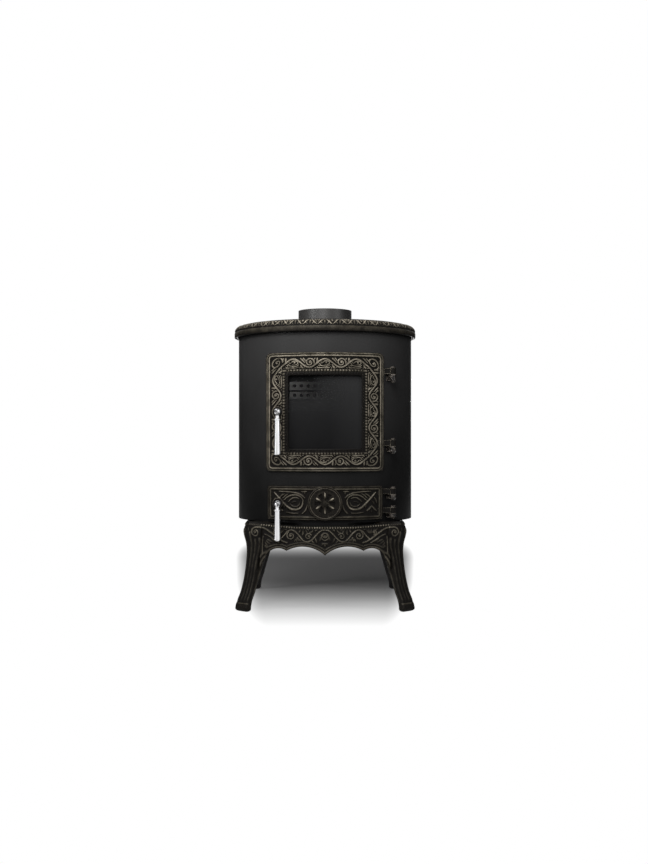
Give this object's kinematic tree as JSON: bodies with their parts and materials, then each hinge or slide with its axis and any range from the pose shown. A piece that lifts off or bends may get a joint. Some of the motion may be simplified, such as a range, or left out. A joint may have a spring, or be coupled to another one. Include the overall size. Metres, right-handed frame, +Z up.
{
  "type": "potbelly stove",
  "caption": "Free-standing cylindrical wood stove on a four-legged cast base, with a glazed fire door, an ash door with a turning air disc, and a top flue collar.",
  "frame": {"origin": "on the floor under the axis of the drum and the flue, middle of the outer box", "axes": "+Z up, the doors face -Y, the door hinges are on the +X side"},
  "size_m": [0.4419, 0.4515, 0.706],
  "materials": {
    "relief": "black casting with antique bronze rubbed on the raised ornament",
    "drum_paint": "satin black heat-proof paint",
    "furnace_iron": "raw dark iron, sooty",
    "chrome": "bright plated grips",
    "steel": "zinc plated, dull",
    "seal_rope": "woven glass-fibre rope and tape",
    "glass": "heat-proof ceramic glass, lightly smoked"
  },
  "bodies": {
    "stove": {"leg_frame_front": "relief", "leg_frame_rear": "relief", "side_rail_left": "relief", "side_rail_right": "relief", "base_plate": "drum_paint", "base_bolts": "steel", "drum_shell": "drum_paint", "drum_floor": "drum_paint", "drum_bolts": "steel", "main_frame": "furnace_iron", "ash_frame": "furnace_iron", "main_keeper": "steel", "ash_keeper": "steel", "main_drum_ear_upper": "relief", "main_drum_ear_lower": "relief", "ash_drum_ear_upper": "relief", "ash_drum_ear_lower": "relief", "top_plate": "relief", "top_gasket": "seal_rope", "flue_collar": "drum_paint", "collar_gasket": "seal_rope", "collar_bolts": "steel", "liner_left": "furnace_iron", "liner_rear": "furnace_iron", "liner_right": "furnace_iron", "log_guard": "furnace_iron", "carrier_brackets": "furnace_iron", "grate_carrier": "furnace_iron", "fire_grate": "furnace_iron", "baffle_brackets": "furnace_iron", "baffle_plate": "furnace_iron", "upper_air_strip": "furnace_iron", "lower_air_strip": "furnace_iron", "pan_runners": "furnace_iron", "ash_pan": "steel"},
    "main_door": {"main_door": "relief", "door_glass": "glass", "glass_gasket": "seal_rope", "glass_clips": "steel", "clip_screws": "steel", "main_rope": "seal_rope", "main_escutcheon": "relief", "main_hinge_pins": "relief"},
    "main_latch": {"main_handle": "chrome", "main_latch_shaft": "steel", "main_latch_tongue": "steel", "main_latch_nut": "steel"},
    "ash_door": {"ash_door": "relief", "ash_rope": "seal_rope", "ash_escutcheon": "relief", "ash_hinge_pins": "relief", "spinner_screw": "relief"},
    "ash_latch": {"ash_handle": "chrome", "ash_latch_shaft": "steel", "ash_latch_tongue": "steel", "ash_latch_nut": "steel"},
    "air_spinner": {"air_spinner": "relief"}
  },
  "joints": [
    {"name": "main_hinge", "type": "hinge", "parent": "stove", "child": "main_door", "pos_m": [0.157, -0.1616, 0.454], "axis": [0, 0, 1], "range_deg": [0, 115]},
    {"name": "main_latch_turn", "type": "hinge", "parent": "main_door", "child": "main_latch", "pos_m": [-0.108, -0.19, 0.4545], "axis": [0, 1, 0], "range_deg": [0, 90]},
    {"name": "ash_hinge", "type": "hinge", "parent": "stove", "child": "ash_door", "pos_m": [0.157, -0.1616, 0.24675], "axis": [0, 0, 1], "range_deg": [0, 115]},
    {"name": "ash_latch_turn", "type": "hinge", "parent": "ash_door", "child": "ash_latch", "pos_m": [-0.108, -0.19, 0.246], "axis": [0, 1, 0], "range_deg": [0, 90]},
    {"name": "spinner_turn", "type": "hinge", "parent": "ash_door", "child": "air_spinner", "pos_m": [0, -0.216, 0.24675], "axis": [0, -1, 0], "range_deg": [0, 30]}
  ]
}
